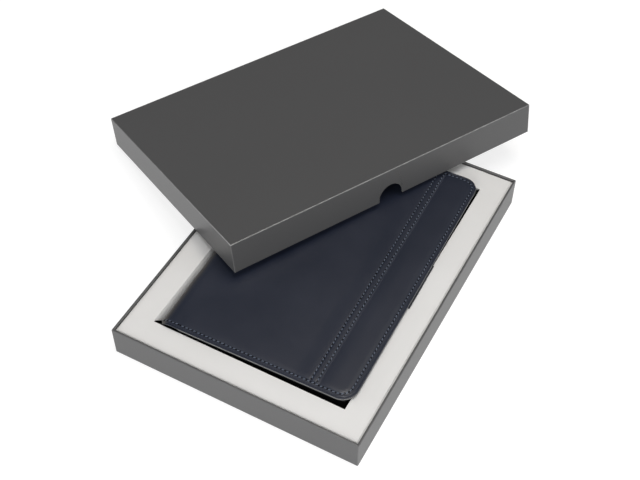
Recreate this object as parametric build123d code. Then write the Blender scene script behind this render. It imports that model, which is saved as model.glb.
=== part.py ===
from build123d import *
import math
import os

# Presentation box: base tray, card insert, leather notebook and lift-off lid, in millimetres.
# +X runs along the tray's short side, +Y along its long side and +Z up.
# The origin is the middle of the tray's underside.

# ---------------------------------------------------------------- driving dimensions
BASE_WIDTH = 180.0
BASE_LENGTH = 250.0
BASE_HEIGHT = 24.0
LID_HEIGHT = 24.5

WRAP = 0.2            # wrap paper
STAY = 0.1            # corner stay tape, in the glue line under the wrap
BOARD = 1.1           # grey board
LINING = 0.15         # lining paper
CARD = 0.6            # insert card
TURN_IN = 15.0        # how far the wrap turns down inside a rim
EDGE_ROUND = 0.3      # rounding of the wrapped edges
STAY_WIDTH = 12.0

LID_CLEARANCE = 0.2   # each side, lid over base
INSERT_CLEARANCE = 0.25
INSERT_DROP = 1.2     # rim to the top of the insert
INSERT_BORDER = 17.9  # platform edge to the cut-out, all round
FLAP_HEIGHT = 14.0
FLAP_END_CUT = 5.0
FLAP_LEAN = 2.0       # degrees, away from the cut-out
FOLD_GAP = 0.05

NOTCH_RADIUS = 9.7
NOTCH_STRAIGHT = 1.8
NOTCH_OFFSET = -0.9   # from the middle of the wall, towards the lid's near end

REST_GAP = 0.3        # between bodies that rest on each other
NOTEBOOK_HEIGHT = 25.2
NOTEBOOK_TURN = 1.27  # degrees about +Z, as it lies in the cut-out
LEATHER = 1.1
STIFFENER = 0.8
COVER_LINING = 0.6
COVER_CORNER = 11.0
SPINE_SIDE_MARGIN = 2.65
FORE_EDGE_OVERHANG = 1.25
HEAD_OVERHANG = 1.35
TAIL_INSET = 1.25
BACK_COVER_INSET = 2.75
BACK_COVER_END_INSET = 1.95
PAGE_INSET = 1.5
PAGE_END_INSET = 2.8
HINGE_GAP = 0.3

BAND_LEFT = 24.7      # fore edge of the cover to the near side of the seam band
BAND_WIDTH = 8.0
BAND_THICKNESS = 0.6
BAND_STITCH_SPACING = 4.2
THREAD_WIDTH = 0.45
THREAD_HEIGHT = 0.2
STITCH_INSET = 3.3

LOOP_LENGTH = 39.5
LOOP_THICKNESS = 1.0
LOOP_REACH = 1.8      # past the fore edge of the front cover
LOOP_OFFSET = -1.5

LID_YAW = -28.06      # degrees, the lid as it leans across the tray
LID_TWIST = -0.97
LID_CENTRE_X = -62.8
LID_CENTRE_Y = 103.7
FLOOR_GAP = 0.05
EDGE_STEPS = 400      # points tried along each skirt of the lid

# ---------------------------------------------------------------- derived sizes
WALL = WRAP + STAY + BOARD + WRAP
SKIN = WRAP + STAY
LID_WIDTH = BASE_WIDTH + 2 * (WALL + LID_CLEARANCE)
LID_LENGTH = BASE_LENGTH + 2 * (WALL + LID_CLEARANCE)
FLOOR_TOP = WRAP + BOARD + LINING
PLATFORM_TOP = BASE_HEIGHT - INSERT_DROP
PLATFORM_UNDER = PLATFORM_TOP - CARD
PLATFORM_WIDTH = BASE_WIDTH - 2 * WALL - 2 * INSERT_CLEARANCE
PLATFORM_LENGTH = BASE_LENGTH - 2 * WALL - 2 * INSERT_CLEARANCE
CUTOUT_WIDTH = PLATFORM_WIDTH - 2 * INSERT_BORDER
CUTOUT_LENGTH = PLATFORM_LENGTH - 2 * INSERT_BORDER

NOTEBOOK_BOTTOM = FLOOR_TOP + REST_GAP
NOTEBOOK_TOP = NOTEBOOK_BOTTOM + NOTEBOOK_HEIGHT
COVER_THICKNESS = LEATHER + STIFFENER + COVER_LINING
SPINE_RADIUS = NOTEBOOK_HEIGHT / 2
SPINE_X = -CUTOUT_WIDTH / 2 + SPINE_SIDE_MARGIN + SPINE_RADIUS
COVER_LEFT = SPINE_X + HINGE_GAP
COVER_RIGHT = CUTOUT_WIDTH / 2 + FORE_EDGE_OVERHANG
COVER_TAIL = -CUTOUT_LENGTH / 2 + TAIL_INSET
COVER_HEAD = CUTOUT_LENGTH / 2 + HEAD_OVERHANG
BACK_RIGHT = CUTOUT_WIDTH / 2 - BACK_COVER_INSET
BACK_HALF_LENGTH = CUTOUT_LENGTH / 2 - BACK_COVER_END_INSET
PAGE_BOTTOM = NOTEBOOK_BOTTOM + COVER_THICKNESS
PAGE_TOP = NOTEBOOK_TOP - COVER_THICKNESS - REST_GAP
BAND_X = COVER_RIGHT - BAND_LEFT - BAND_WIDTH


def block(x0, x1, y0, y1, z0, z1):
    """A box between two corners."""
    size = Box(x1 - x0, y1 - y0, z1 - z0, align=(Align.MIN, Align.MIN, Align.MIN))
    return Pos(x0, y0, z0) * size


def centred(width, length, z0, z1):
    """A box centred on the Z axis."""
    return block(-width / 2, width / 2, -length / 2, length / 2, z0, z1)


def frame(width, length, wall, z0, z1):
    """A rectangular ring, wall thick, inside width by length."""
    return centred(width, length, z0, z1) - centred(width - 2 * wall, length - 2 * wall, z0 - 1, z1 + 1)


# ---------------------------------------------------------------- tray shell, used for base and lid
def shell_boards(width, length, height):
    """Floor and four walls of grey board for a tray with its floor at z = 0."""
    w = width / 2 - SKIN
    l = length / 2 - SKIN
    z0 = WRAP + BOARD
    z1 = height - WRAP
    return {
        "floor": block(-w, w, -l, l, WRAP, z0),
        "front": block(-w, w, -l, -l + BOARD, z0, z1),
        "back": block(-w, w, l - BOARD, l, z0, z1),
        "left": block(-w, -w + BOARD, -l + BOARD, l - BOARD, z0, z1),
        "right": block(w - BOARD, w, -l + BOARD, l - BOARD, z0, z1),
    }


def corner_stay(width, length, height, sx, sy):
    """An angle of gummed tape round one outer corner, in the glue line under the wrap."""
    w = width / 2 - WRAP
    l = length / 2 - WRAP
    ring = frame(2 * w, 2 * l, STAY, WRAP + BOARD, height - 2 * WRAP)
    reach = block(min(0, sx * STAY_WIDTH), max(0, sx * STAY_WIDTH), min(0, sy * STAY_WIDTH),
                  max(0, sy * STAY_WIDTH), 0, height)
    return ring & (Pos(sx * (w - STAY_WIDTH), sy * (l - STAY_WIDTH), 0) * reach)


def wrap_sheet(width, length):
    """The part of the wrap that lies flat on the floor board."""
    return centred(width - 2 * WRAP, length - 2 * WRAP, 0, WRAP)


def wrap_sides(width, length, height, notch=None, notch_board=None):
    """The wrap on the four walls, over the rim and turned in."""
    walls = centred(width, length, 0, height)
    walls = fillet(walls.edges().filter_by(Axis.Z), EDGE_ROUND)
    walls = fillet(walls.faces().sort_by(Axis.Z)[-1].edges(), EDGE_ROUND)
    walls -= centred(width - 2 * WALL, length - 2 * WALL, -1, height + 1)
    channel = frame(width - 2 * WRAP, length - 2 * WRAP, STAY + BOARD, -1, height - WRAP)
    inside = frame(width - 2 * SKIN, length - 2 * SKIN, WALL, -1, height - TURN_IN)
    if notch is not None:
        walls -= notch
        channel -= notch_board
    return walls - channel - inside


def lining_tray(width, length, height):
    """Lining paper on the floor board and up the walls to the turn-in."""
    outer = SKIN + BOARD
    floor = centred(width - 2 * outer, length - 2 * outer, WRAP + BOARD, WRAP + BOARD + LINING)
    walls = frame(width - 2 * outer, length - 2 * outer, LINING, WRAP + BOARD, height - TURN_IN)
    return floor + walls


# ---------------------------------------------------------------- base tray
def base_parts():
    size = (BASE_WIDTH, BASE_LENGTH, BASE_HEIGHT)
    boards = shell_boards(*size)
    parts = {"base_floor_board": boards.pop("floor")}
    for side, board in boards.items():
        parts["base_wall_" + side + "_board"] = board
    for sy, end in ((-1, "front"), (1, "back")):
        for sx, side in ((-1, "left"), (1, "right")):
            parts["base_stay_" + end + "_" + side] = corner_stay(*size, sx, sy)
    parts["base_wrap_bottom"] = wrap_sheet(BASE_WIDTH, BASE_LENGTH)
    parts["base_wrap_sides"] = wrap_sides(*size)
    parts["base_lining"] = lining_tray(*size)
    return parts


# ---------------------------------------------------------------- card insert
def flap(length):
    """One inner flap, hanging from a fold on the Y axis and leaning towards +X."""
    sheet = block(0, CARD, -length / 2, length / 2, -FLAP_HEIGHT, 0)
    return Rot(0, -FLAP_LEAN, 0) * sheet


def insert_parts():
    platform = centred(PLATFORM_WIDTH, PLATFORM_LENGTH, PLATFORM_UNDER, PLATFORM_TOP)
    platform -= centred(CUTOUT_WIDTH, CUTOUT_LENGTH, 0, BASE_HEIGHT)
    w = PLATFORM_WIDTH / 2
    l = PLATFORM_LENGTH / 2
    leg_end = CARD + INSERT_CLEARANCE
    side_flap = flap(CUTOUT_LENGTH - 2 * FLAP_END_CUT)
    end_flap = flap(CUTOUT_WIDTH - 2 * FLAP_END_CUT)
    fold = PLATFORM_UNDER - FOLD_GAP
    right = Pos(CUTOUT_WIDTH / 2, 0, fold) * side_flap
    back = Pos(0, CUTOUT_LENGTH / 2, fold) * (Rot(0, 0, 90) * end_flap)
    return {
        "insert_platform": platform,
        "insert_flap_right": right,
        "insert_flap_left": Rot(0, 0, 180) * right,
        "insert_flap_back": back,
        "insert_flap_front": Rot(0, 0, 180) * back,
        "insert_leg_left": block(-w, -w + CARD, -l, l, FLOOR_TOP, PLATFORM_UNDER),
        "insert_leg_right": block(w - CARD, w, -l, l, FLOOR_TOP, PLATFORM_UNDER),
        "insert_leg_front": block(-w + leg_end, w - leg_end, -l, -l + CARD, FLOOR_TOP, PLATFORM_UNDER),
        "insert_leg_back": block(-w + leg_end, w - leg_end, l - CARD, l, FLOOR_TOP, PLATFORM_UNDER),
    }


# ---------------------------------------------------------------- notebook
def cover_panel(left, right, tail, head, z0, z1, corner):
    """A cover sheet with its two fore-edge corners rounded."""
    panel = block(left, right, tail, head, z0, z1)
    corners = panel.edges().filter_by(Axis.Z).sort_by(Axis.X)[-2:]
    return fillet(corners, corner)


def front_cover_parts():
    top = NOTEBOOK_TOP
    bounds = (COVER_LEFT, COVER_RIGHT, COVER_TAIL, COVER_HEAD)
    lining_top = top - LEATHER - STIFFENER
    inner = (COVER_LEFT, COVER_RIGHT - STITCH_INSET - 1, COVER_TAIL + STITCH_INSET + 1, COVER_HEAD - STITCH_INSET - 1)
    band = block(BAND_X, BAND_X + BAND_WIDTH, COVER_TAIL, COVER_HEAD, top, top + BAND_THICKNESS)
    track = stitch_track(STITCH_INSET) - stitch_track(STITCH_INSET + THREAD_WIDTH)
    margin = THREAD_WIDTH / 2
    clear_band = block(BAND_X - margin, BAND_X + BAND_WIDTH + margin, COVER_TAIL, COVER_HEAD, top - 1, top + 1)
    parts = {
        "front_leather": cover_panel(*bounds, top - LEATHER, top, COVER_CORNER),
        "front_board": cover_panel(*inner, lining_top, top - LEATHER, COVER_CORNER - STITCH_INSET),
        "front_lining": cover_panel(*bounds, top - COVER_THICKNESS, lining_top, COVER_CORNER),
        "seam_band": band,
        "thread_perimeter": track - clear_band,
    }
    middle = BAND_X + BAND_WIDTH / 2
    for side, sign in (("left", -1), ("right", 1)):
        x = middle + sign * BAND_STITCH_SPACING / 2
        z = top + BAND_THICKNESS
        parts["thread_band_" + side] = block(x - THREAD_WIDTH / 2, x + THREAD_WIDTH / 2,
                                             COVER_TAIL + STITCH_INSET, COVER_HEAD - STITCH_INSET,
                                             z, z + THREAD_HEIGHT)
    return parts


def stitch_track(inset):
    """The area inside the stitch line, open towards the spine."""
    return cover_panel(COVER_LEFT, COVER_RIGHT - inset, COVER_TAIL + inset, COVER_HEAD - inset,
                       NOTEBOOK_TOP, NOTEBOOK_TOP + THREAD_HEIGHT, COVER_CORNER - inset)


def spine_leather():
    """Half-round leather spine between the two covers."""
    length = 2 * BACK_HALF_LENGTH
    lay = Pos(SPINE_X, 0, NOTEBOOK_BOTTOM + SPINE_RADIUS) * Rot(90, 0, 0)
    tube = Cylinder(SPINE_RADIUS, length) - Cylinder(SPINE_RADIUS - LEATHER, length + 2)
    half = block(SPINE_X - 2 * SPINE_RADIUS, SPINE_X, -length, length, 0, 2 * NOTEBOOK_TOP)
    return (lay * tube) & half


def notebook_parts():
    bounds = (SPINE_X, BACK_RIGHT, -BACK_HALF_LENGTH, BACK_HALF_LENGTH)
    z0 = NOTEBOOK_BOTTOM
    inner_end = BACK_HALF_LENGTH - STITCH_INSET - 1
    board = (SPINE_X, BACK_RIGHT - STITCH_INSET - 1, -inner_end, inner_end)
    page_end = BACK_HALF_LENGTH - PAGE_END_INSET
    loop_x = BACK_RIGHT - LOOP_THICKNESS - 0.2
    y0 = LOOP_OFFSET - LOOP_LENGTH / 2
    y1 = LOOP_OFFSET + LOOP_LENGTH / 2
    loop_top = NOTEBOOK_TOP - COVER_THICKNESS - REST_GAP
    upright = block(loop_x, loop_x + LOOP_THICKNESS, y0, y1, PAGE_BOTTOM, loop_top)
    tongue = block(loop_x, COVER_RIGHT + LOOP_REACH, y0, y1, loop_top - LOOP_THICKNESS, loop_top)
    return {
        "back_leather": cover_panel(*bounds, z0, z0 + LEATHER, COVER_CORNER),
        "back_board": cover_panel(*board, z0 + LEATHER, z0 + LEATHER + STIFFENER, COVER_CORNER - STITCH_INSET),
        "back_lining": cover_panel(*bounds, z0 + LEATHER + STIFFENER, PAGE_BOTTOM, COVER_CORNER),
        "spine_leather": spine_leather(),
        "page_block": block(SPINE_X, BACK_RIGHT - PAGE_INSET - LOOP_THICKNESS, -page_end, page_end, PAGE_BOTTOM, PAGE_TOP),
        "pen_loop": upright + tongue,
    }


# ---------------------------------------------------------------- lid
def notch_cutter(radius):
    """A half-round thumb notch in the +X wall, opening at the rim of a tray standing on its floor."""
    x = LID_WIDTH / 2
    centre = LID_HEIGHT - NOTCH_STRAIGHT
    arch = Pos(x, NOTCH_OFFSET, centre) * Rot(0, 90, 0) * Cylinder(radius, 6 * WALL)
    straight = block(x - 3 * WALL, x + 3 * WALL, NOTCH_OFFSET - radius, NOTCH_OFFSET + radius,
                     centre, LID_HEIGHT + 1)
    return arch + straight


def lid_tray():
    """The lid built as a tray with its top board at z = 0 and its rim upwards."""
    size = (LID_WIDTH, LID_LENGTH, LID_HEIGHT)
    boards = shell_boards(*size)
    board_notch = notch_cutter(NOTCH_RADIUS + WRAP)
    parts = {
        "lid_top_board": boards["floor"],
        "lid_wall_notched_board": boards["right"] - board_notch,
        "lid_wall_plain_board": boards["left"],
        "lid_wall_near_board": boards["back"],
        "lid_wall_far_board": boards["front"],
    }
    for sy, end in ((1, "near"), (-1, "far")):
        for sx, side in ((-1, "plain"), (1, "notched")):
            parts["lid_stay_" + end + "_" + side] = corner_stay(*size, sx, sy)
    parts["lid_wrap_top"] = wrap_sheet(LID_WIDTH, LID_LENGTH)
    parts["lid_wrap_sides"] = wrap_sides(*size, notch_cutter(NOTCH_RADIUS), board_notch)
    parts["lid_lining"] = lining_tray(*size) - board_notch
    return parts


def lid_plane(tilt):
    """Where the lid lies: origin at the middle of its top, its far corner on the floor."""
    yaw, pitch, twist = (math.radians(a) for a in (LID_YAW, -tilt, LID_TWIST))
    up = (-math.sin(pitch), math.cos(pitch) * math.sin(twist), math.cos(pitch) * math.cos(twist))
    x_dir = (math.cos(pitch) * math.cos(yaw), math.cos(pitch) * math.sin(yaw), -math.sin(pitch))
    z_dir = (math.cos(yaw) * math.sin(pitch) * math.cos(twist) + math.sin(yaw) * math.sin(twist),
             math.sin(yaw) * math.sin(pitch) * math.cos(twist) - math.cos(yaw) * math.sin(twist), up[2])
    height = FLOOR_GAP + up[0] * LID_WIDTH / 2 - up[1] * LID_LENGTH / 2 + up[2] * LID_HEIGHT
    return Plane(origin=(LID_CENTRE_X, LID_CENTRE_Y, height), x_dir=x_dir, z_dir=z_dir)


def lid_clearance(tilt):
    """Least height left over the tray and the notebook, along the two skirts that cross them."""
    plane = lid_plane(tilt)
    over_box = BASE_HEIGHT
    over_notebook = NOTEBOOK_TOP + BAND_THICKNESS
    spare = []
    for step in range(EDGE_STEPS + 1):
        share = 1 - 2 * step / EDGE_STEPS
        for x, y in ((share, -1), (1, share)):
            point = plane.from_local_coords(Vector(x * LID_WIDTH / 2, y * LID_LENGTH / 2, -LID_HEIGHT))
            if abs(point.X) <= BASE_WIDTH / 2 and abs(point.Y) <= BASE_LENGTH / 2:
                spare.append(point.Z - over_box)
            if abs(point.X) <= COVER_RIGHT and abs(point.Y) <= COVER_HEAD:
                spare.append(point.Z - over_notebook)
    return min(spare) - REST_GAP


def lid_rest():
    """The plane at which the lid just clears what it leans on."""
    low, high = 1.0, 30.0
    for _ in range(40):
        middle = (low + high) / 2
        if lid_clearance(middle) < 0:
            low = middle
        else:
            high = middle
    return lid_plane(high)


def lid_parts():
    turn_over = Rot(180, 0, 0)
    rest = lid_rest().location
    return {name: rest * (turn_over * shape) for name, shape in lid_tray().items()}


# ---------------------------------------------------------------- everything in place
nodes = {}
nodes.update(base_parts())
nodes.update(insert_parts())
turn = Rot(0, 0, NOTEBOOK_TURN)
for name, shape in (notebook_parts() | front_cover_parts()).items():
    nodes[name] = turn * shape
nodes.update(lid_parts())

os.makedirs("parts", exist_ok=True)
for name, shape in nodes.items():
    export_step(shape, "parts/" + name + ".step")
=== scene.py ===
import math
import random

import bmesh
import bpy
from mathutils import Matrix, Vector, noise


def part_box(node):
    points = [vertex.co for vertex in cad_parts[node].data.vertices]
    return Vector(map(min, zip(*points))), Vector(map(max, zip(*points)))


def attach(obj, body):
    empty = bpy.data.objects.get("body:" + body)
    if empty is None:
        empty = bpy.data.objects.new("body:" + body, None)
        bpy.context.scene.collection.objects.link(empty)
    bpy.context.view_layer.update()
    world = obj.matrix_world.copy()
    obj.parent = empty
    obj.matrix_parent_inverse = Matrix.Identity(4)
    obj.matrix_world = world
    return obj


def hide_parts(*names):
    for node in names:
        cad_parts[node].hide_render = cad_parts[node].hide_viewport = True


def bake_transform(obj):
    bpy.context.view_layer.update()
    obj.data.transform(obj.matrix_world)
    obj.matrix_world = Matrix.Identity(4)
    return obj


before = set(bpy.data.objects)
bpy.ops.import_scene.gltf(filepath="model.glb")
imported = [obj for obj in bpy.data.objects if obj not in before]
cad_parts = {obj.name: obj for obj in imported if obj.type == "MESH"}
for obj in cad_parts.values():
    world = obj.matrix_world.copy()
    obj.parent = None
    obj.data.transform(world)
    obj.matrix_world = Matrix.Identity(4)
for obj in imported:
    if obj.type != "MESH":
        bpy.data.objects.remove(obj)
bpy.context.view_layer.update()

MM = 0.001

# ---------------------------------------------------------------- sizes, in metres
TRAY_LOW, TRAY_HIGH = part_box("base_wrap_sides")
TRAY_WIDTH = TRAY_HIGH.x - TRAY_LOW.x
TRAY_LENGTH = TRAY_HIGH.y - TRAY_LOW.y
TRAY_HEIGHT = TRAY_HIGH.z
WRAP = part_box("base_wrap_bottom")[1].z
FLOOR_BOARD_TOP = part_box("base_floor_board")[1].z
LINING = 0.15 * MM
LINING_STEP = 0.05 * MM            # how far the lining's face lies behind the turned-in paper's
WALL = TRAY_HIGH.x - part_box("base_wall_right_board")[0].x + WRAP
TURN_IN = 15 * MM
CORNER_ROUND = 0.6 * MM
CORNER_ROUND_LEAST = 0.12 * MM
CORNER_STEPS = 5
EDGE_ROUND = 0.6 * MM
EDGE_STEPS = 4
FOLD_WEAR_AND_HIGHLIGHT = 0.3                    # how pale the paper's folds are coloured, partly wear and partly painted highlight; the one above the thumb notch carries the brightest painted highlight
FOLD_WEAR_AND_HIGHLIGHT_MOST = 1.0
LID_HEIGHT = 24.5 * MM
NOTCH_RADIUS = 9.7 * MM
NOTCH_STRAIGHT = 1.8 * MM
NOTCH_OFFSET = -0.9 * MM
NOTCH_LIP = 0.8 * MM               # rounding where the notch meets the rim
NOTCH_STEPS = 20
NOTCH_LIP_STEPS = 4

CARD_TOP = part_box("insert_platform")[1].z
CARD = CARD_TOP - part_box("insert_platform")[0].z
CARD_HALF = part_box("insert_platform")[1].x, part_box("insert_platform")[1].y
CARD_GAP = 0.6 * MM                # the sheet stops this far short of the wall
CARD_FOLD = 0.4 * MM
CARD_SKIRT = 2 * MM                # how much of the sheet's folded-down edge is shown
CARD_CUT_EDGE = 0.18 * MM
CUTOUT_HALF = 70.25 * MM, 105.25 * MM
FLAP_HEIGHT = 14 * MM
FLAP_END_CUT = 5 * MM
FLAP_END_GAP = 0.5 * MM
FLAP_LEAN = math.radians(2)
FLAP_BEND = 0.5 * MM
FLAP_KNEE = 4.2 * MM               # how far down a flap turns into its flat panel
FLAP_SINK = 0.02 * MM
FLAP_CUTS = 40
FLAP_ROOM = 1.1 * MM               # the left flap stays this far from the spine
FLAP_LEAN_MOST = 2.2 * MM

TURN = math.radians(1.27)          # how far the notebook lies turned in the cut-out
COVER_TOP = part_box("front_leather")[1].z
LEATHER = COVER_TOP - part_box("front_leather")[0].z
COVER_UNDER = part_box("front_lining")[0].z
COVER_RIGHT = 70.95 * MM
COVER_TAIL = -104.0 * MM
COVER_HEAD = 106.6 * MM
COVER_CORNER = 11 * MM
BACK_HALF = 103.3 * MM
SPINE_X = -55 * MM
SPINE_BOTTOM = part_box("spine_leather")[0].z
SPINE_RADIUS = (COVER_TOP - SPINE_BOTTOM) / 2
SPINE_SIDE = -67.5 * MM
SPINE_SHOULDER = 8.5 * MM          # how wide the spine's rounded shoulder is, and how high
SPINE_SHOULDER_HEIGHT = 4.6 * MM
RIM = 2.3 * MM                     # leather, board and lining together at the cut edge
CUT_EDGE_SHARE = 0.5               # the raw leather's share of that edge, the rest is dark lining
FORE_EDGE_SLOPE = 0.0035           # the slope at which the fore edge swings out towards the head
FORE_STITCH_SLOPE = 0.007          # how much steeper its stitch line swings out
HINGE_AFTER = 1.5 * MM             # to here behind it
STITCH_INSET = 3.3 * MM
STITCH_PITCH = 2.95 * MM
STITCH_WIDTH = 0.68 * MM
STITCH_SLANT = 0.24 * MM
STITCH_JITTER = 0.14 * MM
STITCH_RISE = 0.08 * MM            # how proud of the leather the edge's stitches stand
SEAM_STITCH_RISE = 0.32 * MM
HOLE_LENGTH = 0.80 * MM
HOLE_WIDTH = 0.58 * MM
HOLE_LIFT = 0.03 * MM              # the needle holes' rims lie this far above the leather
HOLE_DEPTH = 0.02 * MM
LOOP_NEAR = -18.6 * MM
LOOP_FAR = 21.7 * MM
LOOP_OUT = 71.8 * MM
LOOP_IN = 66.4 * MM
LOOP_FOLD = 0.45 * MM
LOOP_THICKNESS = 0.3 * MM
LOOP_CUTS = 40
ROW_LEFT = 40.75 * MM              # the seam's two rows of stitches
ROW_RIGHT = 44.95 * MM
SEAM_SWELL = 0.50 * MM             # the seam's rise on its left, over this width
SEAM_SWELL_WIDTH = 11 * MM
SEAM_SWELL_REACH = 13 * MM         # how far before the left row the rise starts
SEAM_FALL = 0.85 * MM              # its fall on its right, over this width
SEAM_FALL_WIDTH = 1.3 * MM
SEAM_FALL_START = 0.25 * MM
SEAM_LEVEL_START = 1.2 * MM
SEAM_LEVEL_WIDTH = 10 * MM         # where the leather comes back to its level
SEAM_LEVEL_SHARE = 0.75
SEAM_ROW_DEPTH = 0.30 * MM
SEAM_ROW_WIDTH = 0.6 * MM
LINING_MARGIN = 0.7 * MM

NOTEBOOK = Matrix.Rotation(TURN, 4, "Z")


# ---------------------------------------------------------------- node trees
# Where a Mix node keeps its colour sockets.
MIX_FACTOR, MIX_FIRST, MIX_SECOND, MIX_RESULT = 0, 6, 7, 2


class Value:
    """A number socket in a node tree, with arithmetic that adds Math nodes."""

    def __init__(self, tree, socket):
        self.tree = tree
        self.socket = socket

    def math(self, operation, *others):
        """A Math node on this value and the others."""
        node = self.tree.nodes.new("ShaderNodeMath")
        node.operation = operation
        for place, item in zip(node.inputs, (self, *others)):
            connect(self.tree, item, place)
        return Value(self.tree, node.outputs[0])

    def __add__(self, other):
        return self.math("ADD", other)

    def __sub__(self, other):
        return self.math("SUBTRACT", other)

    def __mul__(self, other):
        return self.math("MULTIPLY", other)

    def __rsub__(self, other):
        return (self * -1.0) + other

    __radd__ = __add__
    __rmul__ = __mul__


def connect(tree, item, place):
    """Puts a value, a colour or a link into a socket."""
    if isinstance(item, Value):
        tree.links.new(item.socket, place)
    elif isinstance(item, bpy.types.NodeSocket):
        tree.links.new(item, place)
    else:
        place.default_value = item


class Finish:
    """A material under construction."""

    def __init__(self, name, **shader):
        self.material = bpy.data.materials.new(name)
        self.material.use_nodes = True
        self.tree = self.material.node_tree
        self.tree.nodes.clear()
        self.shader = self.tree.nodes.new("ShaderNodeBsdfPrincipled")
        output = self.tree.nodes.new("ShaderNodeOutputMaterial")
        self.tree.links.new(self.shader.outputs[0], output.inputs[0])
        for socket, value in shader.items():
            self.set(socket.replace("_", " "), value)

    def set(self, socket, item):
        """Puts a value or a link into one of the shader's sockets."""
        connect(self.tree, item, self.shader.inputs[socket])

    def node(self, kind, settings=None, output=0, **inputs):
        """Adds a node: its settings first, then the values or links of its sockets."""
        node = self.tree.nodes.new("ShaderNode" + kind)
        for key, value in (settings or {}).items():
            setattr(node, key, value)
        for key, item in inputs.items():
            connect(self.tree, item, node.inputs[key.replace("_", " ")])
        return node.outputs[output]

    def value(self, *args, **inputs):
        """The same, as a number to calculate with."""
        return Value(self.tree, self.node(*args, **inputs))

    def place(self):
        """Object coordinates, in metres."""
        return self.node("TexCoord", output="Object")

    def noise(self, scale, detail=3.0, roughness=0.5):
        """Noise in the object's own space."""
        return self.value("TexNoise", Vector=self.place(), Scale=scale, Detail=detail, Roughness=roughness)

    def mark(self, name):
        """How much a point of the mesh carries of a mark, such as a worn fold."""
        return self.value("Attribute", {"attribute_name": name}, output="Fac")

    def ramp(self, factor, low, high, dark=0.0, light=1.0):
        """The factor stretched so that low becomes dark and high becomes light."""
        return self.value("MapRange", {"clamp": True}, Value=factor, From_Min=low, From_Max=high,
                          To_Min=dark, To_Max=light)

    def mix(self, factor, first, second):
        """A colour that is the first where the factor is 0, and the second where it is 1."""
        node = self.node("Mix", {"data_type": "RGBA"}).node
        for place, item in ((MIX_FACTOR, factor), (MIX_FIRST, first), (MIX_SECOND, second)):
            connect(self.tree, item, node.inputs[place])
        return node.outputs[MIX_RESULT]

    def bump(self, height, distance, strength=1.0):
        """Bumps the surface by the height, which is worth a distance in metres."""
        normal = self.node("Bump", Height=height, Distance=distance, Strength=strength)
        self.set("Normal", normal)


def colour(red, green, blue):
    """An opaque colour."""
    return (red, green, blue, 1.0)


# ---------------------------------------------------------------- finishes
def wrap_paper():
    """Dark grey satin wrap paper with a very fine fibre, paler on its folds, partly from wear and partly as a
    painted highlight.
    """
    f = Finish("wrap_paper", Specular_IOR_Level=0.5)
    cloud = f.noise(14, 4)
    fibre = f.noise(2600, 2)
    tone = f.ramp(cloud * 0.5 + fibre * 0.5, 0.35, 0.65)
    sheet = f.mix(tone, colour(0.0685, 0.0685, 0.0695), colour(0.0712, 0.0712, 0.0722))
    fold = f.mark("fold")
    # painted highlight: the folds' paler colour is partly wear and partly a painted highlight, brightest
    # above the thumb notch
    wear_and_highlight = fold * f.ramp(f.noise(180, 3), 0.35, 0.75, 0.5, 1.0)
    f.set("Base Color", f.mix(wear_and_highlight, sheet, colour(0.27, 0.27, 0.27)))
    f.set("Roughness", f.ramp(fibre, 0.3, 0.7, 0.39, 0.41) - fold * 0.14)
    f.bump(fibre, 0.00002, 0.2)
    return f.material


def insert_card():
    """White coated card, faintly mottled."""
    f = Finish("insert_card", Specular_IOR_Level=0.35)
    cloud = f.ramp(f.noise(22, 3), 0.3, 0.7)
    f.set("Base Color", f.mix(cloud, colour(0.695, 0.688, 0.678), colour(0.725, 0.720, 0.712)))
    f.set("Roughness", f.ramp(f.noise(300, 2), 0.3, 0.7, 0.55, 0.68))
    f.bump(f.noise(1500, 3), 0.00003, 0.4)
    return f.material


def cover_leather():
    """Smooth navy leather with a fine pebble grain and faint clouding, paler and warmer on the spine's
    shoulder from a painted reflection of the card beside it.
    """
    f = Finish("cover_leather", Specular_IOR_Level=0.5, Sheen_Weight=0.05)
    grain = f.value("TexVoronoi", {"feature": "SMOOTH_F1"}, Vector=f.place(), Scale=2200.0, Smoothness=0.6)
    cloud = f.ramp(f.noise(26, 4, 0.6), 0.3, 0.7)
    fine = f.noise(900, 3)
    base = f.mix(cloud, colour(0.0056, 0.0092, 0.0215), colour(0.0086, 0.0122, 0.0262))
    # painted reflection: the spine's shoulder is coloured paler and warmer where it would mirror the card
    # insert beside it
    reflected = f.mark("burnish") * f.ramp(f.noise(120, 3), 0.3, 0.7, 0.6, 1.0)
    f.set("Base Color", f.mix(reflected, base, colour(0.040, 0.036, 0.031)))
    f.set("Roughness", f.ramp(fine * 0.6 + cloud * 0.4, 0.3, 0.7, 0.36, 0.46))
    f.bump(grain * 0.7 + fine * 0.5, 0.00008, 0.35)
    return f.material


def cut_edge():
    """The pale, fibrous cut edge of the leather."""
    f = Finish("cut_edge", Specular_IOR_Level=0.25)
    fibre = f.noise(1800, 4, 0.7)
    tone = f.ramp(fibre, 0.3, 0.7)
    f.set("Base Color", f.mix(tone, colour(0.16, 0.16, 0.155), colour(0.34, 0.34, 0.33)))
    f.set("Roughness", f.ramp(fibre, 0.3, 0.7, 0.7, 0.9))
    f.bump(fibre, 0.0001, 0.6)
    return f.material


def thread():
    """Twisted blue-grey sewing thread."""
    f = Finish("thread", Specular_IOR_Level=0.4, Sheen_Weight=0.2)
    twist = f.value("TexWave", {"bands_direction": "DIAGONAL"}, Vector=f.place(), Scale=900.0, Distortion=1.5)
    tone = f.ramp(twist, 0.2, 0.8)
    f.set("Base Color", f.mix(tone, colour(0.045, 0.060, 0.092), colour(0.120, 0.148, 0.200)))
    f.set("Roughness", f.ramp(twist, 0.2, 0.8, 0.6, 0.45))
    f.bump(twist, 0.0001, 0.7)
    return f.material


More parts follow.
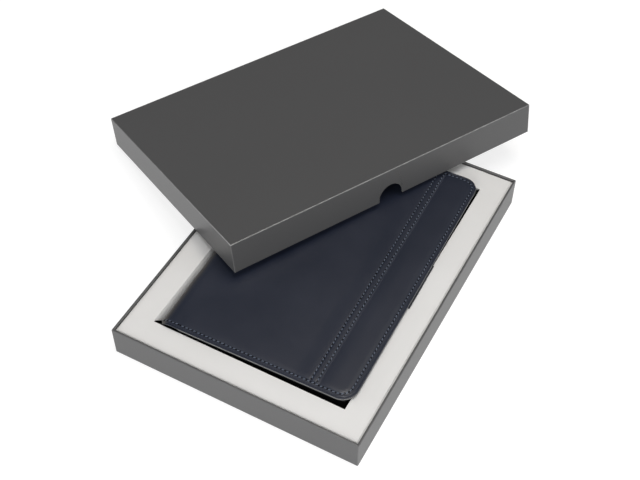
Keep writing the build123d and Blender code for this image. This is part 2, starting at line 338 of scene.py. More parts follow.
def needle_hole():
    """Painted shade for a needle hole: a near-black colour standing for the shade inside it."""
    f = Finish("needle_hole", Specular_IOR_Level=0.1)
    tone = f.ramp(f.noise(3000, 2), 0.3, 0.7)
    # painted shade: near-black for the shade inside the hole
    f.set("Base Color", f.mix(tone, colour(0.003, 0.003, 0.004), colour(0.008, 0.008, 0.010)))
    f.set("Roughness", f.ramp(tone, 0, 1, 0.8, 0.95))
    return f.material


def lining_paper():
    """Matt black lining paper with a soft fibre."""
    f = Finish("lining_paper", Specular_IOR_Level=0.2)
    fibre = f.noise(1400, 4)
    tone = f.ramp(fibre, 0.3, 0.7)
    f.set("Base Color", f.mix(tone, colour(0.008, 0.008, 0.008), colour(0.014, 0.014, 0.014)))
    f.set("Roughness", f.ramp(fibre, 0.3, 0.7, 0.75, 0.9))
    f.bump(fibre, 0.00005, 0.4)
    return f.material


def grey_board():
    """Recycled grey board with darker and lighter flecks."""
    f = Finish("grey_board", Specular_IOR_Level=0.2)
    fleck = f.noise(900, 5, 0.7)
    tone = f.ramp(fleck, 0.35, 0.65)
    f.set("Base Color", f.mix(tone, colour(0.26, 0.25, 0.23), colour(0.44, 0.42, 0.39)))
    f.set("Roughness", f.ramp(fleck, 0.3, 0.7, 0.8, 0.92))
    f.bump(fleck, 0.0001, 0.5)
    return f.material


def stay_tape():
    """Brown gummed paper tape."""
    f = Finish("stay_tape", Specular_IOR_Level=0.3)
    fibre = f.noise(1500, 4)
    tone = f.ramp(fibre, 0.3, 0.7)
    f.set("Base Color", f.mix(tone, colour(0.30, 0.20, 0.11), colour(0.40, 0.28, 0.16)))
    f.set("Roughness", f.ramp(fibre, 0.3, 0.7, 0.6, 0.75))
    f.bump(fibre, 0.00005, 0.4)
    return f.material


def page_paper():
    """Cream pages whose cut edges are coloured near-black, a painted shade for the dark gap in front of the
    cover's edge.
    """
    f = Finish("page_paper", Specular_IOR_Level=0.2)
    height = f.value("SeparateXYZ", output="Z", Vector=f.place())
    wander = f.noise(40, 2)
    sheet = (height * 52000.0 + wander * 14.0).math("SINE")
    tone = f.ramp(sheet, -1, 1)
    facing = f.value("SeparateXYZ", output="Z", Vector=f.node("NewGeometry", output="Normal"))
    flat = f.ramp(facing.math("ABSOLUTE"), 0.6, 0.8)
    # painted shade: the cut edges are near-black to stand for the shade in the gap in front of the cover
    edges = f.mix(tone, colour(0.008, 0.008, 0.009), colour(0.028, 0.028, 0.031))
    sheet_face = f.mix(f.ramp(wander, 0.3, 0.7), colour(0.70, 0.67, 0.59), colour(0.74, 0.71, 0.63))
    f.set("Base Color", f.mix(flat, edges, sheet_face))
    f.set("Roughness", f.ramp(wander, 0.3, 0.7, 0.7, 0.85))
    f.bump(sheet, 0.00006, 0.6)
    return f.material


def loop_elastic():
    """Ribbed dark elastic."""
    f = Finish("loop_elastic", Specular_IOR_Level=0.25, Sheen_Weight=0.3)
    rib = f.value("TexWave", {"bands_direction": "Y"}, Vector=f.place(), Scale=420.0, Distortion=0.6)
    tone = f.ramp(rib, 0.2, 0.8)
    f.set("Base Color", f.mix(tone, colour(0.006, 0.007, 0.011), colour(0.020, 0.023, 0.032)))
    f.set("Roughness", f.ramp(rib, 0.2, 0.8, 0.9, 0.75))
    f.bump(rib, 0.00015, 0.8)
    return f.material


def cover_lining():
    """Woven dark lining inside the notebook's covers."""
    f = Finish("cover_lining", Specular_IOR_Level=0.2, Sheen_Weight=0.1)
    weave = f.noise(1700, 2) * 0.6 + f.noise(300, 3) * 0.4
    tone = f.ramp(weave, 0.35, 0.65)
    f.set("Base Color", f.mix(tone, colour(0.020, 0.021, 0.024), colour(0.034, 0.035, 0.040)))
    f.set("Roughness", f.ramp(weave, 0.3, 0.7, 0.7, 0.85))
    f.bump(weave, 0.00006, 0.5)
    return f.material


def table_top():
    """A white light table, lit a little from beneath."""
    f = Finish("table_top", Specular_IOR_Level=0.0, Emission_Strength=0.78)
    tone = f.ramp(f.noise(3, 2), 0.3, 0.7)
    f.set("Base Color", f.mix(tone, colour(0.33, 0.33, 0.33), colour(0.34, 0.34, 0.34)))
    f.set("Emission Color", f.mix(tone, colour(0.99, 0.99, 0.99), colour(1.0, 1.0, 1.0)))
    f.set("Roughness", f.ramp(tone, 0, 1, 0.9, 0.95))
    return f.material


WRAP_PAPER = wrap_paper()
INSERT_CARD = insert_card()
COVER_LEATHER = cover_leather()
CUT_EDGE = cut_edge()
THREAD = thread()
NEEDLE_HOLE = needle_hole()
LINING_PAPER = lining_paper()
GREY_BOARD = grey_board()
STAY_TAPE = stay_tape()
PAGE_PAPER = page_paper()
LOOP_ELASTIC = loop_elastic()
COVER_LINING = cover_lining()


# ---------------------------------------------------------------- mesh helpers
def piece(name, body, bm, place, *materials, sharp=40, nodes=(), slot=None):
    """Turns a bmesh into a named piece on a body, standing for the given CAD nodes.

    slot is not used.
    """
    bmesh.ops.recalc_face_normals(bm, faces=bm.faces)
    mesh = bpy.data.meshes.new(name)
    bm.transform(place)
    bm.to_mesh(mesh)
    bm.free()
    for material in materials:
        mesh.materials.append(material)
    mesh.shade_smooth()
    mesh.set_sharp_from_angle(angle=math.radians(sharp))
    obj = bpy.data.objects.new(name, mesh)
    bpy.context.scene.collection.objects.link(obj)
    weighted = obj.modifiers.new("even_shading", "WEIGHTED_NORMAL")
    weighted.keep_sharp = True
    if body:
        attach(obj, body)
    if nodes:
        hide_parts(*nodes)
    return obj


def bridge(bm, lower, upper, closed=True, material=0):
    """Quads between two rows of vertices of the same length."""
    count = len(lower)
    for i in range(count if closed else count - 1):
        j = (i + 1) % count
        face = bm.faces.new((lower[i], lower[j], upper[j], upper[i]))
        face.material_index = material


def arc(steps, start, end):
    """Even steps from start to end, both included."""
    return [start + (end - start) * i / steps for i in range(steps + 1)]


# ---------------------------------------------------------------- wrapped trays
def rim_path(notched):
    """The steps round a tray's rim.

    At a corner a step is ("corner", side in x, side in y, angle). notch_path gives those of a notched wall.
    """
    path = []
    for sx, sy, start in ((1, 1, 0), (-1, 1, 90), (-1, -1, 180), (1, -1, 270)):
        for angle in arc(CORNER_STEPS, math.radians(start), math.radians(start + 90)):
            path.append(("corner", sx, sy, angle))
    if notched:
        path += notch_path()
    return path


def notch_path():
    """The notched edge, walked along the wall from its far end to its near end.

    A step is ("wall", place along, drop of the rim, lean of the edge in the wall's plane, place below).
    """
    r = NOTCH_RADIUS
    lip = NOTCH_LIP
    left = NOTCH_OFFSET - r
    right = NOTCH_OFFSET + r
    steps = []
    for a in arc(NOTCH_LIP_STEPS, math.radians(90), math.radians(0)):
        steps.append((left - lip + lip * math.cos(a), lip - lip * math.sin(a), a))
    for a in arc(NOTCH_STEPS, math.pi, 0):
        steps.append((NOTCH_OFFSET + r * math.cos(a), NOTCH_STRAIGHT + r * math.sin(a), None))
    for a in arc(NOTCH_LIP_STEPS, math.radians(180), math.radians(90)):
        steps.append((right + lip + lip * math.cos(a), lip - lip * math.sin(a), a))
    result = []
    for i, (along, drop, turn) in enumerate(steps):
        if turn is not None:
            lean = (-math.cos(turn), -math.sin(turn))
        else:
            dy, dz = along - NOTCH_OFFSET, drop - NOTCH_STRAIGHT
            size = math.hypot(dy, dz)
            lean = (dy / size, -dz / size)
        spread = left - 2 * lip + (right - left + 4 * lip) * i / (len(steps) - 1)
        result.append(("wall", along, drop, lean, spread))
    return result


def rim_ring(path, width, length, height, depth, edge=None, level=None):
    """One closed row of points, depth inside the outer face.

    edge is how far the row is from the rim, measured in the wall; level is a plain height instead.
    """
    points = []
    for step in path:
        if step[0] == "corner":
            _, sx, sy, angle = step
            radius = max(CORNER_ROUND - depth, CORNER_ROUND_LEAST)
            cx = sx * (width / 2 - depth - radius)
            cy = sy * (length / 2 - depth - radius)
            z = level if level is not None else height - edge
            points.append((cx + radius * math.cos(angle), cy + radius * math.sin(angle), z))
        else:
            _, along, drop, lean, spread = step
            x = width / 2 - depth
            if level is not None:
                points.append((x, spread, level))
            else:
                points.append((x, along + lean[0] * edge, height - drop + lean[1] * edge))
    return points


def wrapped_tray(width, length, height, notched):
    """A board tray covered in wrap paper, its paper folded over the rim and turned in over the lining."""
    bm = bmesh.new()
    fold = bm.verts.layers.float.new("fold")
    path = rim_path(notched)
    r = EDGE_ROUND
    paper, lining = 0, 1
    rings = []

    def row(depth, material=paper, **where):
        points = rim_ring(path, width, length, height, depth, **where)
        rings.append((material, [bm.verts.new(point) for point in points]))

    for a in arc(EDGE_STEPS, 0, math.pi / 2):
        row(r - r * math.sin(a), level=r - r * math.cos(a))
    for a in arc(EDGE_STEPS, 0, math.pi / 2):
        row(r - r * math.cos(a), edge=r - r * math.sin(a))
    for a in arc(EDGE_STEPS, math.pi / 2, 0):
        row(WALL - r + r * math.cos(a), edge=r - r * math.sin(a))
    turn_end = height - TURN_IN
    row(WALL, level=turn_end)
    row(WALL - LINING_STEP, level=turn_end)
    row(WALL - LINING_STEP, lining, level=FLOOR_BOARD_TOP + LINING)
    mark_folds(fold, rings, path, width / 2 - 2 * CORNER_ROUND if notched else None)
    for (_, lower), (material, upper) in zip(rings, rings[1:]):
        bridge(bm, lower, upper, material=material)
    bm.faces.new(rings[0][1])
    floor = bm.faces.new(rings[-1][1])
    floor.material_index = lining
    return bm


def mark_folds(fold, rings, path, brightest_beyond=None):
    """Marks the points on the paper's folds, which are coloured paler: partly wear, partly painted highlight.

    The fold above the thumb notch, beyond the x given as the last argument, gets the brightest painted
    highlight.
    """
    last_fold_row = 3 * (EDGE_STEPS + 1) - 1
    for row, (_, ring) in enumerate(rings):
        on_edge = row < last_fold_row and 0 < row % (EDGE_STEPS + 1) < EDGE_STEPS
        for column, vertex in enumerate(ring):
            on_corner = path[column][0] == "corner" and 0 < column % (CORNER_STEPS + 1) < CORNER_STEPS
            folded = on_edge or (on_corner and 0 < row < last_fold_row)
            most = brightest_beyond and row < EDGE_STEPS and vertex.co.x > brightest_beyond
            # the top fold of the notched wall gets the brightest painted highlight, the other folds wear plus
            # a weaker painted highlight
            wear_and_highlight = FOLD_WEAR_AND_HIGHLIGHT_MOST if most else FOLD_WEAR_AND_HIGHLIGHT
            vertex[fold] = wear_and_highlight if folded else 0.0


def base_tray():
    """The base tray: its wrap paper outside and its black lining inside."""
    bm = wrapped_tray(TRAY_WIDTH, TRAY_LENGTH, TRAY_HEIGHT, notched=False)
    return piece("base_wrap", "base", bm, Matrix(), WRAP_PAPER, LINING_PAPER,
                 nodes=("base_wrap_sides", "base_wrap_bottom", "base_lining"))


def lid_frame():
    """The matrix of the lid: origin at the middle of its top, Z out of its top."""
    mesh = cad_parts["lid_top_board"].data
    same_corner = 0.1 * MM
    corners = []
    for vertex in mesh.vertices:
        if all((vertex.co - c).length > same_corner for c in corners):
            corners.append(vertex.co.copy())
    first = corners[0]
    edges = sorted((c - first for c in corners[1:]), key=lambda v: v.length)
    up, along = edges[0].normalized(), edges[3].normalized()
    up = up if up.z > 0 else -up
    along = along if along.y > 0 else -along
    across = along.cross(up)
    centre = sum(corners, Vector()) / len(corners) + up * (edges[0].length / 2 + WRAP)
    skin = TRAY_WIDTH / 2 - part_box("base_floor_board")[1].x
    size = edges[1].length + 2 * skin, edges[3].length + 2 * skin
    matrix = Matrix.Translation(centre) @ Matrix((across, along, up)).transposed().to_4x4()
    return matrix, size


def lid():
    """The lid, which is a tray turned upside down, with the thumb notch in one wall."""
    place, (width, length) = lid_frame()
    bm = wrapped_tray(width, length, LID_HEIGHT, notched=True)
    turned = place @ Matrix.Rotation(math.pi, 4, "X")
    return piece("lid_wrap", "lid", bm, turned, WRAP_PAPER, LINING_PAPER,
                 nodes=("lid_wrap_sides", "lid_wrap_top", "lid_lining"))


# ---------------------------------------------------------------- card insert
def platform():
    """The card sheet with its cut-out; its outer edges are folded down."""
    bm = bmesh.new()
    rows = []

    def ring(hx, hy, z, cuts=12):
        """A rectangle of points, cut into even steps, with half sides hx and hy."""
        sides = []
        corners = ((hx, -hy), (hx, hy), (-hx, hy), (-hx, -hy))
        for (x0, y0), (x1, y1) in zip(corners, corners[1:] + corners[:1]):
            for i in range(cuts):
                t = i / cuts
                sides.append(bm.verts.new((x0 + (x1 - x0) * t, y0 + (y1 - y0) * t, z)))
        return sides

    hx, hy = (half - CARD_GAP for half in CARD_HALF)
    ix, iy = CUTOUT_HALF
    under = CARD_TOP - CARD
    rows.append(ring(hx, hy, under - CARD_SKIRT))
    fold, edge = CARD_FOLD, CARD_CUT_EDGE
    for a in arc(4, 0, math.pi / 2):
        inset = fold - fold * math.cos(a)
        rows.append(ring(hx - inset, hy - inset, CARD_TOP - fold + fold * math.sin(a)))
    for share in (0.25, 0.5, 0.75):
        mx = hx - fold + (ix - hx + fold) * share
        my = hy - fold + (iy - hy + fold) * share
        rows.append(ring(mx, my, CARD_TOP))
    for a in arc(3, math.pi / 2, 0):
        inset = edge - edge * math.cos(a)
        rows.append(ring(ix + inset, iy + inset, CARD_TOP - edge + edge * math.sin(a)))
    rows.append(ring(ix, iy, under))
    rows.append(ring(hx - CARD, hy - CARD, under))
    rows.append(ring(hx - CARD, hy - CARD, under - CARD_SKIRT))
    for lower, upper in zip(rows, rows[1:] + rows[:1]):
        bridge(bm, lower, upper)
    return piece("insert_card", "base", bm, Matrix(), INSERT_CARD, nodes=("insert_platform",))


def flap(name, half, across, turn, leans_in=None):
    """One inner flap: a short fold over the edge, then a panel that hangs and leans.

    It leans a little outwards, or as far inwards as leans_in gives for a place along it.
    """
    bm = bmesh.new()
    bend, knee = FLAP_BEND, FLAP_KNEE
    top = CARD_TOP - FLAP_SINK
    foot = CARD_TOP - CARD - FLAP_HEIGHT
    outwards = 0 if leans_in else FLAP_HEIGHT * math.tan(FLAP_LEAN)
    rows = []
    for share in arc(FLAP_CUTS, -1, 1):
        face = half - (leans_in(share * across) if leans_in else 0)
        profile = []
        for a in arc(5, math.pi / 2, 0):
            profile.append((half + bend - bend * math.cos(a), top - bend + bend * math.sin(a)))
        profile += [(face, top - knee), (face + outwards, foot)]
        profile += [(face + outwards + CARD, foot), (face + CARD, top - knee)]
        profile += [(half + CARD, top - bend - 0.3 * MM), (half + bend + 0.4 * MM, top - 0.35 * MM)]
        row = []
        for x, z in profile:
            cut = FLAP_END_GAP + FLAP_END_CUT * min(max(top - z, 0) / knee, 1)
            row.append(bm.verts.new((x, share * (across - cut), z)))
        rows.append(row)
    for first, second in zip(rows, rows[1:]):
        bridge(bm, first, second)
    bm.faces.new(rows[0])
    bm.faces.new(rows[-1])
    return piece(name, "base", bm, Matrix.Rotation(math.radians(turn), 4, "Z"), INSERT_CARD, nodes=(name,))


def room_by_spine(along):
    """How far the left flap can lean in before it meets the spine, at a place along it."""
    spine = SPINE_SIDE * math.cos(TURN) + along * math.sin(TURN)
    room = spine + CUTOUT_HALF[0] - FLAP_ROOM
    return min(max(room, 0), FLAP_LEAN_MOST)


def insert():
    """The card insert: the sheet and its four inner flaps."""
    platform()
    hx, hy = CUTOUT_HALF
    flap("insert_flap_right", hx, hy, 0)
    flap("insert_flap_left", hx, hy, 180, room_by_spine)
    flap("insert_flap_back", hy, hx, 90)
    flap("insert_flap_front", hy, hx, -90)


# ---------------------------------------------------------------- notebook
def smooth(value):
    """A soft step from 0 to 1, as the value goes from 0 to 1."""
    value = min(max(value, 0.0), 1.0)
    return value * value * (3 - 2 * value)


def hump(value, centre, width):
    """A soft hump 1 high round the centre."""
    return math.exp(-((value - centre) / width) ** 2)


def edge_sag(inset):
    """How far the leather dips near its edge: rounded rim, pressed line, stitch line, then the padding."""
    padding, padding_width = 0.50 * MM, 7.5 * MM
    stitch_line, stitch_line_width = 0.24 * MM, 0.8 * MM
    pressed_line, pressed_line_inset, pressed_line_width = 0.26 * MM, 1.35 * MM, 0.30 * MM
    rim = 0.4 * MM
    sag = padding * (1 - smooth(inset / padding_width))
    sag += stitch_line * hump(inset, STITCH_INSET, stitch_line_width)
    sag += pressed_line * hump(inset, pressed_line_inset, pressed_line_width)
    if inset < rim:
        sag += rim - math.sqrt(max(rim ** 2 - (rim - inset) ** 2, 0))
    return sag


def seam_rise(x):
    """The raised seam: it swells slowly from the left, drops on its right and slowly levels out."""
    swell = smooth((x - ROW_LEFT + SEAM_SWELL_REACH) / SEAM_SWELL_WIDTH)
    fall = smooth((x - ROW_RIGHT - SEAM_FALL_START) / SEAM_FALL_WIDTH)
    level = min(max((x - ROW_RIGHT - SEAM_LEVEL_START) / SEAM_LEVEL_WIDTH, 0), 1)
    rows = SEAM_ROW_DEPTH * (hump(x, ROW_LEFT, SEAM_ROW_WIDTH) + hump(x, ROW_RIGHT, SEAM_ROW_WIDTH))
    return SEAM_SWELL * swell - SEAM_FALL * fall * (1 - SEAM_LEVEL_SHARE * (1 - (1 - level) ** 2)) - rows


def cover_drop(x, y, inset):
    """How far the leather lies below the cover's top at a place, inset from its edge."""
    inner = smooth((inset - 1.5 * MM) / (4 * MM))
    wave = 0.20 * MM * noise.noise(Vector((x * 22, y * 15, 3.1)))
    return edge_sag(inset) - (seam_rise(x) + wave) * inner


def round_corner(x, y):
    """Moves a point of the square grid so that the fore-edge corners come out round."""
    cx = COVER_RIGHT - COVER_CORNER
    for cy, sign in ((COVER_TAIL + COVER_CORNER, -1), (COVER_HEAD - COVER_CORNER, 1)):
        u = (x - cx) / COVER_CORNER
        v = (y - cy) * sign / COVER_CORNER
        if u > 0 and v > 0:
            out = COVER_CORNER * u * math.sqrt(1 - v * v / 2)
            along = COVER_CORNER * v * math.sqrt(1 - u * u / 2)
            return cx + out, cy + sign * along
    return x, y


def cover_inset(x, y):
    """Distance from the cover's edge, the spine side left out."""
    dx = COVER_RIGHT - x
    dy = min(y - COVER_TAIL, COVER_HEAD - y)
    if dx < COVER_CORNER and dy < COVER_CORNER:
        return COVER_CORNER - math.hypot(COVER_CORNER - dx, COVER_CORNER - dy)
    return min(dx, dy)


def lean(x, y):
    """The fore edge isn't quite parallel to the seam: it swings out towards the head."""
    return x + FORE_EDGE_SLOPE * y * smooth((x - ROW_RIGHT) / (COVER_RIGHT - ROW_RIGHT))


def edge_steps():
    """Distances from the edge at which the leather's surface gets a row of points, finest near it."""
    fine = arc(6, 0, 0.4) + arc(12, 0.55, 3.0) + arc(6, 3.15, 4.2) + arc(5, 4.6, 11.0)
    return [value * MM for value in fine]


def between(start, end, pitch):
    """Even places between start and end, both left out, about a pitch apart."""
    count = max(1, round((end - start) / pitch))
    return [start + (end - start) * i / count for i in range(1, count)]


def spine_curve(angle, sign):
    """A place on the spine's rounded shoulder and its outward normal; sign is 1 at the top, -1 below."""
    edge = SPINE_RADIUS - SPINE_SHOULDER_HEIGHT
    x = SPINE_SIDE + SPINE_SHOULDER * (1 - math.cos(angle))
    z = SPINE_BOTTOM + SPINE_RADIUS + sign * (edge + SPINE_SHOULDER_HEIGHT * math.sin(angle))
    normal = Vector((-math.cos(angle) / SPINE_SHOULDER, 0, sign * math.sin(angle) / SPINE_SHOULDER_HEIGHT))
    return Vector((x, 0, z)), normal.normalized()


def cover_columns():
    """The cover's section from the bottom of the spine, up and over, to the fore edge."""
    flat = between(SPINE_SIDE + SPINE_SHOULDER, SPINE_X, 0.9 * MM) + [SPINE_X]
    columns = [("spine", Vector((x, 0, SPINE_BOTTOM)), Vector((0, 0, -1))) for x in reversed(flat)]
    for angle in arc(14, math.pi / 2, 0):
        columns.append(("spine", *spine_curve(angle, -1)))
    side = SPINE_RADIUS - SPINE_SHOULDER_HEIGHT
    for rise in between(-side, side, 1.6 * MM):
        middle = Vector((SPINE_SIDE, 0, SPINE_BOTTOM + SPINE_RADIUS + rise))
        columns.append(("spine", middle, Vector((-1, 0, 0))))
    for angle in arc(22, 0, math.pi / 2):
        columns.append(("spine", *spine_curve(angle, 1)))
    columns += [("spine", Vector((x, 0, COVER_TOP)), Vector((0, 0, 1))) for x in flat]
    seam_start, seam_end = ROW_LEFT - 5 * MM, ROW_RIGHT + 4 * MM
    xs = between(SPINE_X, seam_start, 2.4 * MM) + [seam_start]
    xs += between(seam_start, seam_end, 0.3 * MM) + [seam_end]
    steps = edge_steps()
    xs += between(seam_end, COVER_RIGHT - steps[-1], 1.2 * MM)
    xs += [COVER_RIGHT - step for step in reversed(steps)]
    up = Vector((0, 0, 1))
    return columns + [("front", Vector((x, 0, COVER_TOP)), up) for x in xs]


def cover_leather_piece():
    """One piece of leather: the spine and the sewn front cover, with its pale cut edge all round."""
    bm = bmesh.new()
    burnish = bm.verts.layers.float.new("burnish")
    leather, raw_edge, lining = range(3)
    steps = edge_steps()
    shares = between(0, 1, 0.012)
    card_level = CARD_TOP + 0.3 * MM
    outer, inner = [], []
    for kind, base, normal in cover_columns():
        reach = smooth((base.z - card_level) / (COVER_TOP - card_level))
        low = -BACK_HALF + (COVER_TAIL + BACK_HALF) * reach
        high = BACK_HALF + (COVER_HEAD - BACK_HALF) * reach
        ys = [low + s for s in steps]
        ys += [low + steps[-1] + (high - low - 2 * steps[-1]) * t for t in shares]
        ys += [high - s for s in reversed(steps)]
        depth = LEATHER + (RIM - LEATHER) * smooth((base.x - SPINE_X) / (2 * MM))
        top, under = [], []
        for y in ys:
            if kind == "spine":
                ripple = 0.15 * MM * noise.noise(Vector((base.z * 160, y * 45, 1.7)))
                sag = edge_sag(min(y - low, high - y)) + ripple
                px, py = base.x, y
            else:
                px, py = round_corner(base.x, y)
                sag = cover_drop(px, py, cover_inset(px, py))
            shifted = Vector((lean(px, py), py, base.z))
            top.append(bm.verts.new(shifted - normal * sag))
            if kind == "spine":
                # painted reflection: marks the spine's rounded shoulder for a paler, warmer colour
                top[-1][burnish] = smooth(normal.z / 0.3) * (1 - smooth((normal.z - 0.86) / 0.13))
            under.append(bm.verts.new(shifted - normal * depth))
        outer.append(top)
        inner.append(under)
    for first, second in zip(outer, outer[1:]):
        bridge(bm, first, second, closed=False, material=leather)
    for first, second in zip(inner, inner[1:]):
        bridge(bm, first, second, closed=False, material=lining)
    borders = [([column[k] for column in outer], [column[k] for column in inner]) for k in (0, -1)]
    borders += [(outer[0], inner[0]), (outer[-1], inner[-1])]
    for above, below in borders:
        middle = [bm.verts.new(a.co.lerp(b.co, CUT_EDGE_SHARE)) for a, b in zip(above, below)]
        bridge(bm, above, middle, closed=False, material=raw_edge)
        bridge(bm, middle, below, closed=False, material=lining)
    obj = piece("cover_leather_sewn", None, bm, NOTEBOOK, COVER_LEATHER, CUT_EDGE, COVER_LINING, sharp=50,
                nodes=("front_leather", "seam_band", "spine_leather"))
    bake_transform(obj)
    return obj


def cover_surface(x, y):
    """The place on the leather's surface at (x, y)."""
    if x < SPINE_X:
        share = max((SPINE_SIDE + SPINE_SHOULDER - x) / SPINE_SHOULDER, 0)
        drop = SPINE_SHOULDER_HEIGHT * (1 - math.sqrt(1 - share ** 2))
        return Vector((x, y, COVER_TOP - drop - edge_sag(min(y - COVER_TAIL, COVER_HEAD - y))))
    return Vector((lean(x, y), y, COVER_TOP - cover_drop(x, y, cover_inset(x, y))))


def sewing_line():
    """Points of the stitch line round the front cover, from the hinge round the fore edge and back."""
    r = COVER_CORNER - STITCH_INSET
    x1 = COVER_RIGHT - COVER_CORNER
    y0 = COVER_TAIL + COVER_CORNER
    y1 = COVER_HEAD - COVER_CORNER
    points = [Vector((SPINE_X + HINGE_AFTER, COVER_TAIL + STITCH_INSET, 0))]
    points += [Vector((x1 + r * math.cos(a), y0 + r * math.sin(a), 0)) for a in arc(16, -math.pi / 2, 0)]
    points += [Vector((x1 + r * math.cos(a), y1 + r * math.sin(a), 0)) for a in arc(16, 0, math.pi / 2)]
    points.append(Vector((SPINE_X + HINGE_AFTER, COVER_HEAD - STITCH_INSET, 0)))
    for point in points:
        point.x += FORE_STITCH_SLOPE * point.y * smooth((point.x - ROW_RIGHT) / (x1 - ROW_RIGHT))
    return points


def walk(points, pitch):
    """Places at even steps along a line of points."""
    rounding = 1e-9
    lengths = [(b - a).length for a, b in zip(points, points[1:])]
    total = sum(lengths)
    count = round(total / pitch)
    result = []
    for i in range(count + 1):
        target = total * i / count
        for (a, b), size in zip(zip(points, points[1:]), lengths):
            if target <= size + rounding:
                result.append(a + (b - a) * (target / size))
                break
            target -= size
    return result


def add_stitch(bm, start, end, rise):
    """One stitch: a thread that dips into the leather at both ends."""
    side = Vector((0, 0, 1)).cross(end - start).normalized()
    points_round = 7
    half_width = STITCH_WIDTH / 2
    half_height = STITCH_WIDTH * 0.42
    sunk = 0.70
    rings = []
    for t in arc(6, 0, 1):
        swell = math.sin(math.pi * (0.1 + 0.8 * t)) ** 0.6
        centre = start.lerp(end, t) + Vector((0, 0, rise * (swell - sunk)))
        ring = []
        for k in range(points_round):
            a = 2 * math.pi * k / points_round
            across = side * (half_width * swell * math.cos(a))
            up = Vector((0, 0, half_height * swell * math.sin(a)))
            ring.append(bm.verts.new(centre + across + up))
        rings.append(ring)
    for first, second in zip(rings, rings[1:]):
        bridge(bm, first, second)
    bm.faces.new(rings[0])
    bm.faces.new(list(reversed(rings[-1])))


def add_hole(bm, centre, along, spread=1):
    """A shallow dimple, pulled out along the seam, a hair above the leather, coloured near-black as painted
    shade for the hole.
    """
    across = Vector((-along.y, along.x, 0))
    points_round = 8
    ring = []
    for k in range(points_round):
        a = 2 * math.pi * k / points_round
        offset = along * (HOLE_LENGTH * spread * math.cos(a)) + across * (HOLE_WIDTH * spread * math.sin(a))
        surface = cover_surface(centre.x + offset.x, centre.y + offset.y)
        ring.append(bm.verts.new(surface + Vector((0, 0, HOLE_LIFT))))
    low = bm.verts.new(cover_surface(centre.x, centre.y) - Vector((0, 0, HOLE_DEPTH)))
    for a, b in zip(ring, ring[1:] + ring[:1]):
        bm.faces.new((a, b, low))


def sewn_row(name, body, points, seed, rise, nodes=()):
    """A row of stitches along a line, with the needle holes between them."""
    rng = random.Random(seed)
    threads, holes = bmesh.new(), bmesh.new()
    stops = walk(points, STITCH_PITCH)
    thread_start, thread_end = 0.22, 0.80
    for a, b in zip(stops, stops[1:]):
        along = b - a
        slant = Vector((-along.y, along.x, 0)).normalized() * STITCH_SLANT
        jitter = Vector((rng.uniform(-1, 1), rng.uniform(-1, 1), 0)) * STITCH_JITTER
        start = a + along * thread_start - slant + jitter
        end = a + along * thread_end + slant + jitter
        add_stitch(threads, cover_surface(start.x, start.y), cover_surface(end.x, end.y), rise)
        add_hole(holes, a, along.normalized(), rng.uniform(0.85, 1.2))
    add_hole(holes, stops[-1], (stops[-1] - stops[-2]).normalized())
    piece("stitches_" + name, body, threads, NOTEBOOK, THREAD, nodes=nodes)
    piece("needle_holes_" + name, body, holes, NOTEBOOK, NEEDLE_HOLE, slot="cover_leather")


def stitching():
    """Every sewn row: round the cover, along both sides of the seam, and across the spine's two ends."""
    sewn_row("perimeter", "front_cover", sewing_line(), 3, STITCH_RISE, ("thread_perimeter",))
    short = 0.6 * STITCH_PITCH
    start = COVER_TAIL + STITCH_INSET + short
    end = COVER_HEAD - STITCH_INSET - short
    for side, x, seed in (("left", ROW_LEFT, 7), ("right", ROW_RIGHT, 11)):
        line = [Vector((x, start, 0)), Vector((x, end, 0))]
        sewn_row("seam_" + side, "front_cover", line, seed, SEAM_STITCH_RISE, ("thread_band_" + side,))
    spine_start, spine_end = SPINE_X - 11.0 * MM, SPINE_X - 0.2 * MM
    for side, y, seed in (("tail", COVER_TAIL + STITCH_INSET, 17), ("head", COVER_HEAD - STITCH_INSET, 19)):
        line = [Vector((spine_start, y, 0)), Vector((spine_end, y, 0))]
        sewn_row("spine_" + side, "notebook", line, seed, STITCH_RISE)


def pen_loop():
    """A flat folded elastic loop, standing out of the fore edge."""
    bm = bmesh.new()
    top = COVER_UNDER - 0.35 * MM
    fold = LOOP_FOLD
    upper_inside = top - 0.36 * MM
    lower_inside = top - 2 * fold + 0.36 * MM
    section = [(LOOP_IN, top - 0.02 * MM)]
    for a in arc(8, math.pi / 2, -math.pi / 2):
        section.append((LOOP_OUT - fold + fold * math.cos(a), top - fold + fold * math.sin(a)))
    section += [(LOOP_IN, top - 2 * fold), (LOOP_IN, top - 2 * fold + LOOP_THICKNESS)]
    section += [(LOOP_OUT - fold, lower_inside), (LOOP_OUT - fold, upper_inside)]
    section.append((LOOP_IN, top - 0.32 * MM))
    rows = []
    for y in arc(LOOP_CUTS, LOOP_NEAR, LOOP_FAR):
        rows.append([bm.verts.new((x, y, z)) for x, z in section])
    for first, second in zip(rows, rows[1:]):
        bridge(bm, first, second)
    bm.faces.new(rows[0])
    bm.faces.new(rows[-1])
    return piece("pen_loop_elastic", "notebook", bm, NOTEBOOK, LOOP_ELASTIC, nodes=("pen_loop",))


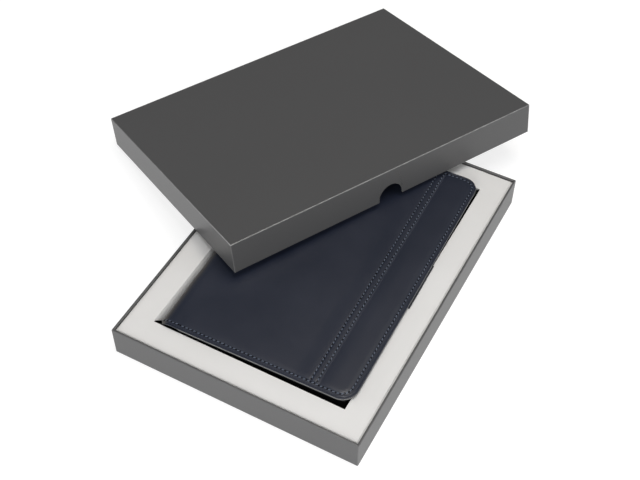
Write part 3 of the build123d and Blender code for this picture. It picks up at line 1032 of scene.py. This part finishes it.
def front_lining():
    """The lining sheet on the inside of the front cover, set in a little from its edge."""
    bm = bmesh.new()
    margin = LINING_MARGIN
    radius = COVER_CORNER - margin
    left, right = SPINE_X + 3 * MM, COVER_RIGHT - margin
    tail, head = COVER_TAIL + margin, COVER_HEAD - margin
    outline = [(left, tail)]
    for cy, start in ((tail + radius, -math.pi / 2), (head - radius, 0)):
        for a in arc(8, start, start + math.pi / 2):
            outline.append((right - radius + radius * math.cos(a), cy + radius * math.sin(a)))
    outline.append((left, head))
    bevel = 0.05 * MM
    top = COVER_TOP - RIM + bevel
    rows = []
    for z in (top, COVER_UNDER + bevel, COVER_UNDER):
        inset = 0.06 * MM if z == COVER_UNDER else 0
        rows.append([bm.verts.new((lean(x, y) - inset, y, z)) for x, y in outline])
    for lower, upper in zip(rows, rows[1:]):
        bridge(bm, lower, upper)
    bm.faces.new(rows[0])
    bm.faces.new(rows[-1])
    return piece("front_lining_sheet", "front_cover", bm, NOTEBOOK, COVER_LINING, nodes=("front_lining",))


def finish_cad_nodes():
    """Materials for the CAD nodes that are shown as they are."""
    looks = {
        "base_floor_board": GREY_BOARD, "lid_top_board": GREY_BOARD,
        "back_leather": COVER_LEATHER, "back_lining": COVER_LINING,
        "back_board": GREY_BOARD, "front_board": GREY_BOARD, "page_block": PAGE_PAPER,
    }
    for name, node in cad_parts.items():
        if name in looks:
            material = looks[name]
        elif "_wall_" in name:
            material = GREY_BOARD
        elif "_stay_" in name:
            material = STAY_TAPE
        elif name.startswith("insert_"):
            material = INSERT_CARD
        else:
            continue
        node.data.materials.clear()
        node.data.materials.append(material)


# ---------------------------------------------------------------- table, light and camera
def table():
    """The table, a hair below the tray's underside."""
    half_width, gap = 4.0, 0.1 * MM
    bm = bmesh.new()
    bmesh.ops.create_grid(bm, x_segments=8, y_segments=8, size=half_width)
    mesh = bpy.data.meshes.new("table_top")
    bm.to_mesh(mesh)
    bm.free()
    mesh.materials.append(table_top())
    obj = bpy.data.objects.new("table_top", mesh)
    obj.location.z = -gap
    bpy.context.scene.collection.objects.link(obj)


def softbox(name, location, size, power, tint=(1, 1, 1)):
    """A rectangular light that faces a place just behind the tray's middle."""
    target = Vector((0, 0.05, 0))
    data = bpy.data.lights.new(name, "AREA")
    data.shape = "RECTANGLE"
    data.size, data.size_y = size
    data.energy = power
    data.color = tint
    obj = bpy.data.objects.new(name, data)
    obj.location = location
    obj.rotation_euler = (target - Vector(location)).to_track_quat("-Z", "Y").to_euler()
    bpy.context.scene.collection.objects.link(obj)


def lights():
    """A studio of six softboxes, watts last, with a dim and slightly cool surround."""
    softbox("overhead_softbox", (0.24, -0.08, 1.25), (0.55, 0.55), 6.4)
    softbox("back_softbox", (0.03, 0.30, 1.25), (0.35, 0.35), 1.9, tint=(1.0, 0.90, 0.74))
    softbox("right_softbox", (1.25, 0.05, 0.9), (0.8, 0.6), 4.0)
    softbox("front_softbox", (0.2, -1.35, 0.5), (0.7, 0.5), 10)
    softbox("rear_softbox", (0.95, 1.05, 0.35), (0.6, 0.3), 2.2)
    softbox("left_softbox", (-1.2, -0.5, 0.4), (0.7, 0.4), 3.0)
    world = bpy.data.worlds.new("studio")
    world.use_nodes = True
    background = world.node_tree.nodes["Background"]
    background.inputs["Color"].default_value = colour(0.97, 0.98, 1.0)
    background.inputs["Strength"].default_value = 0.22
    bpy.context.scene.world = world


def camera():
    """The view: from the front right, looking down at about 49 degrees."""
    azimuth, elevation, roll = math.radians(28.298), math.radians(49.39), math.radians(0.159)
    target = Vector((-17.497, 25.024, 0)) * MM
    distance = 808.21 * MM
    back = Vector((math.sin(azimuth) * math.cos(elevation), -math.cos(azimuth) * math.cos(elevation),
                   math.sin(elevation)))
    data = bpy.data.cameras.new("view")
    data.sensor_width = 36             # these two are in millimetres
    data.lens = 63.18979
    data.clip_start = 10 * MM
    obj = bpy.data.objects.new("view", data)
    obj.location = target + back * distance
    right = Vector((math.cos(azimuth), math.sin(azimuth), 0))
    up = back.cross(right)
    rolled_right = right * math.cos(roll) + up * math.sin(roll)
    rolled_up = up * math.cos(roll) - right * math.sin(roll)
    obj.rotation_euler = Matrix((rolled_right, rolled_up, back)).transposed().to_euler()
    bpy.context.scene.collection.objects.link(obj)
    bpy.context.scene.camera = obj


bpy.context.scene.view_settings.view_transform = "Standard"
base_tray()
lid()
insert()
cover_leather_piece()
stitching()
pen_loop()
front_lining()
finish_cad_nodes()
table()
lights()
camera()
